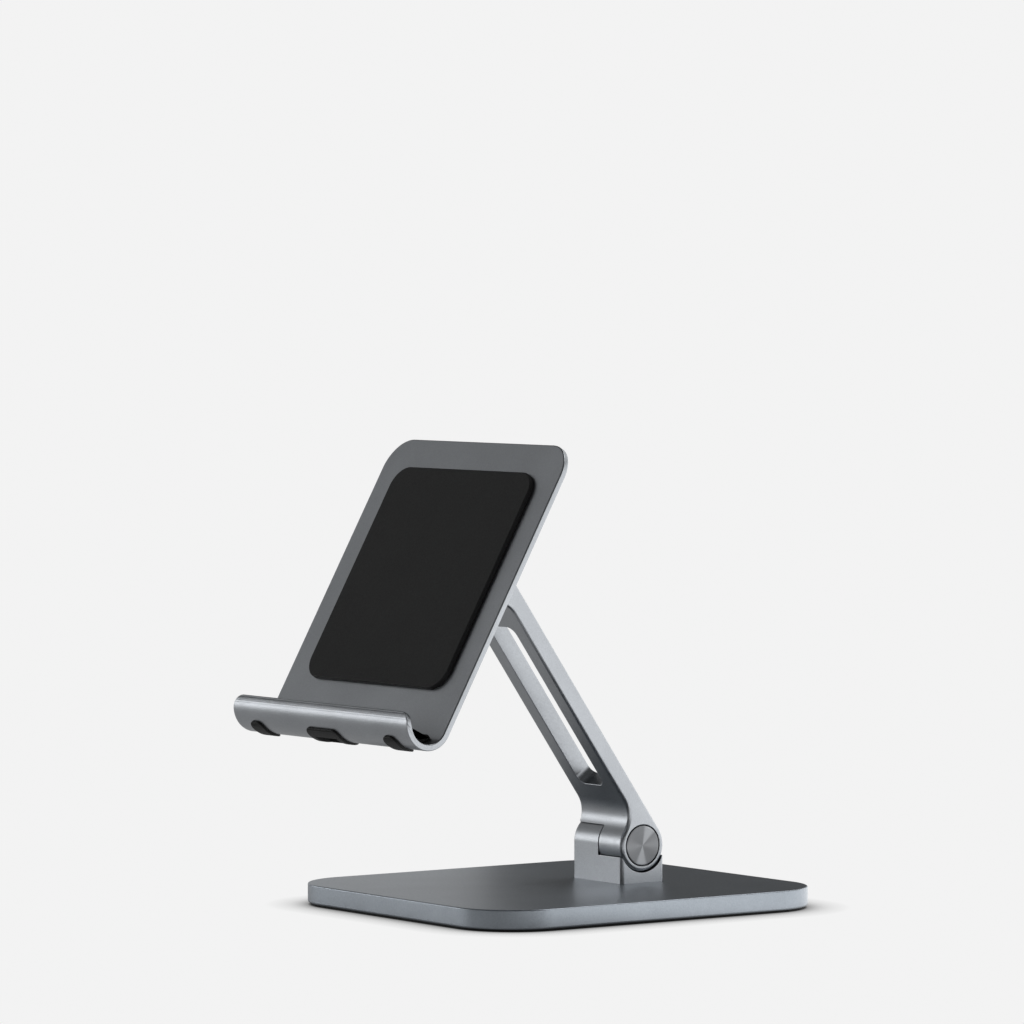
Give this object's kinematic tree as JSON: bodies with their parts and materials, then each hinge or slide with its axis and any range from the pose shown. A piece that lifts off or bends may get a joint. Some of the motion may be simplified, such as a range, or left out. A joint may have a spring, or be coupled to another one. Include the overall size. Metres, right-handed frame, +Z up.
{
  "type": "tablet stand",
  "caption": "Desk stand for a tablet: flat weighted base, slotted arm between two friction hinges, and a plate with a padded hook for the tablet's lower edge.",
  "frame": {"origin": "centre of the base pad's underside, on the surface that the stand rests on", "axes": "+Z up, +X to the right of the person who looks at the tablet, +Y away from them"},
  "size_m": [0.1352, 0.1794, 0.1688],
  "materials": {
    "base_aluminium": "bead-blasted space-grey anodised, fine bright chamfer",
    "arm_aluminium": "bead-blasted space-grey anodised",
    "holder_aluminium": "bead-blasted space-grey anodised sheet",
    "spun_cap": "spun face with circular grain",
    "fastener_steel": "zinc-plated steel",
    "base_rubber": "matt black silicone sheet",
    "grip_rubber": "matt black moulded silicone",
    "acetal": "natural acetal"
  },
  "bodies": {
    "base": {"base_plate": "base_aluminium", "base_pad": "base_rubber", "base_hinge_block": "arm_aluminium", "base_screw_1": "fastener_steel", "base_screw_2": "fastener_steel", "base_screw_3": "fastener_steel", "base_screw_4": "fastener_steel", "lower_axle": "fastener_steel", "lower_friction_washer": "acetal", "lower_steel_washer": "fastener_steel", "lower_disc_spring_1": "fastener_steel", "lower_disc_spring_2": "fastener_steel", "lower_lock_nut": "fastener_steel", "lower_cap_left": "spun_cap"},
    "arm": {"arm": "arm_aluminium", "lower_cap_right": "spun_cap", "upper_cap_right": "spun_cap"},
    "holder": {"holder_plate": "holder_aluminium", "back_grip_pad": "grip_rubber", "hook_grip_left": "grip_rubber", "hook_grip_right": "grip_rubber", "cable_grip": "grip_rubber", "holder_bracket": "arm_aluminium", "bracket_screw_1": "fastener_steel", "bracket_screw_2": "fastener_steel", "bracket_screw_3": "fastener_steel", "bracket_screw_4": "fastener_steel", "upper_axle": "fastener_steel", "upper_friction_washer": "acetal", "upper_steel_washer": "fastener_steel", "upper_disc_spring_1": "fastener_steel", "upper_disc_spring_2": "fastener_steel", "upper_lock_nut": "fastener_steel", "upper_cap_left": "spun_cap"}
  },
  "joints": [
    {"name": "arm_tilt", "type": "hinge", "parent": "base", "child": "arm", "pos_m": [0, 0.02764, 0.0214], "axis": [1, 0, 0], "range_deg": [-40, 52]},
    {"name": "holder_tilt", "type": "hinge", "parent": "arm", "child": "holder", "pos_m": [0, -0.04198, 0.12061], "axis": [1, 0, 0], "range_deg": [-115, 25]}
  ]
}
